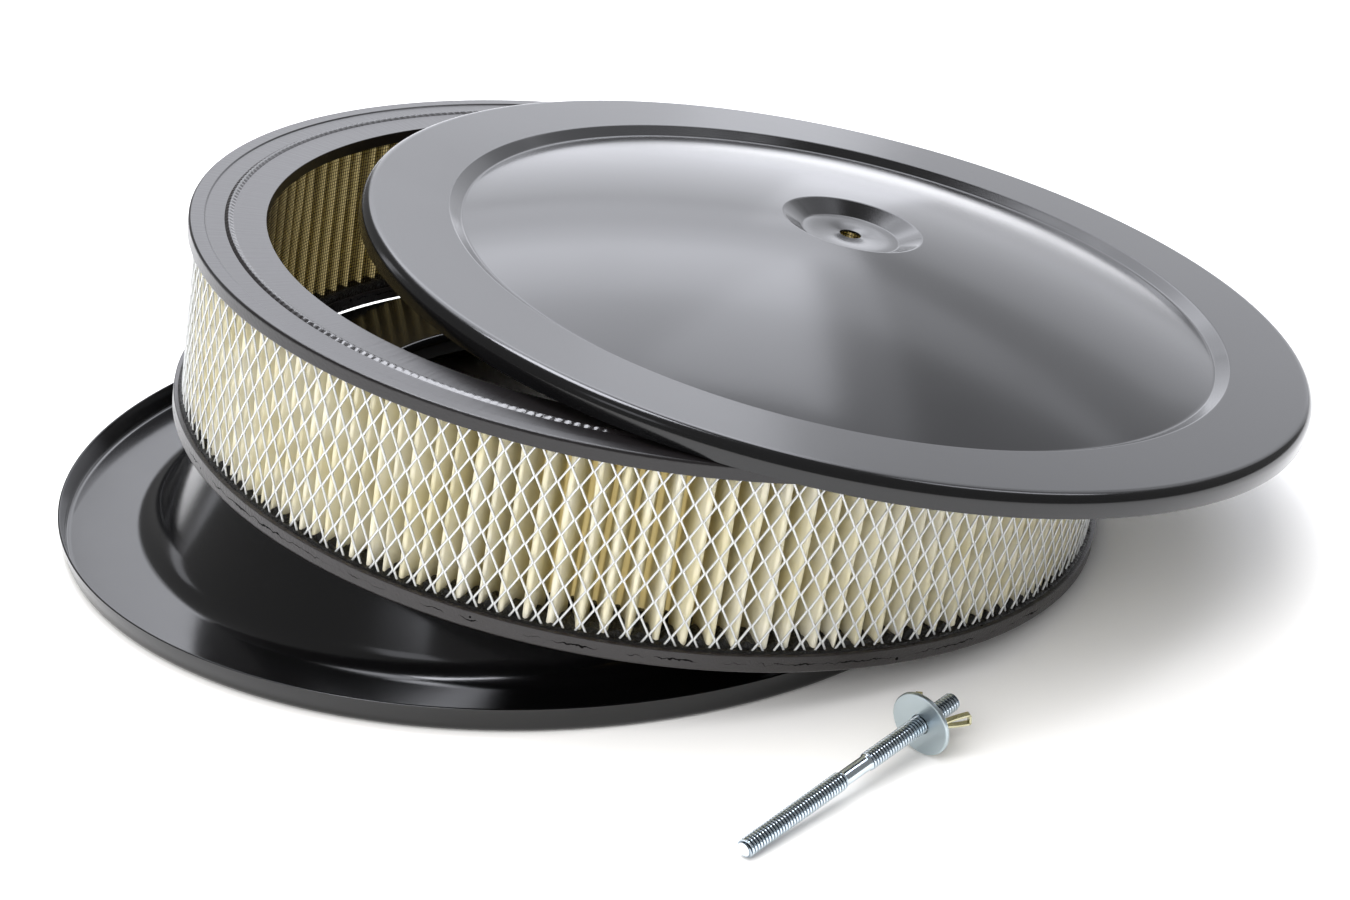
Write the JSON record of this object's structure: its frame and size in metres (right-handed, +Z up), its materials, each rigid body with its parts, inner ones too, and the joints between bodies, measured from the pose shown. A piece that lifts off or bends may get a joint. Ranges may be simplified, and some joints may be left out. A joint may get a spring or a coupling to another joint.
{
  "type": "carburetor air cleaner",
  "caption": "Round carburetor air cleaner laid open: pressed base pan, pleated paper filter leaning on it, domed lid on top, and its stud with washer and wing nut.",
  "frame": {"origin": "on the axis of the carburetor neck, at the lower edge of its turned-down collar", "axes": "+Z up along the neck's axis, +X towards the side that the filter and the lid are shifted to, +Y away from the side where the stud lies"},
  "size_m": [0.4754, 0.4381, 0.1327],
  "materials": {
    "black_enamel": "semi-gloss",
    "moulded_ring": "satin",
    "filter_paper": "matte",
    "coated_mesh": "satin",
    "wire_cloth": "satin",
    "bright_zinc": "bright",
    "yellow_zinc": "bright"
  },
  "bodies": {
    "cleaner": {"base_pan": "black_enamel", "lid": "black_enamel", "filter_top_ring": "moulded_ring", "filter_bottom_ring": "moulded_ring", "pleated_paper": "filter_paper", "outer_mesh": "coated_mesh", "inner_screen": "wire_cloth", "stud": "bright_zinc"},
    "washer": {"washer": "bright_zinc"},
    "wing_nut": {"wing_nut": "yellow_zinc"}
  },
  "joints": [
    {"name": "washer_slide", "type": "slide", "parent": "cleaner", "child": "washer", "axis": [0.6828, 0.7246, 0.0936], "range_m": [-0.0255, 0.009]},
    {"name": "wing_nut_turn", "type": "hinge", "parent": "washer", "child": "wing_nut", "pos_m": [0.13795, -0.18949, -0.02722], "axis": [0.6828, 0.7246, 0.0936], "range_deg": [-7200, 2520]}
  ],
  "couplings": [
    {"joint": "washer_slide", "follows": "wing_nut_turn", "m_per_rad": 0.00020213}
  ]
}
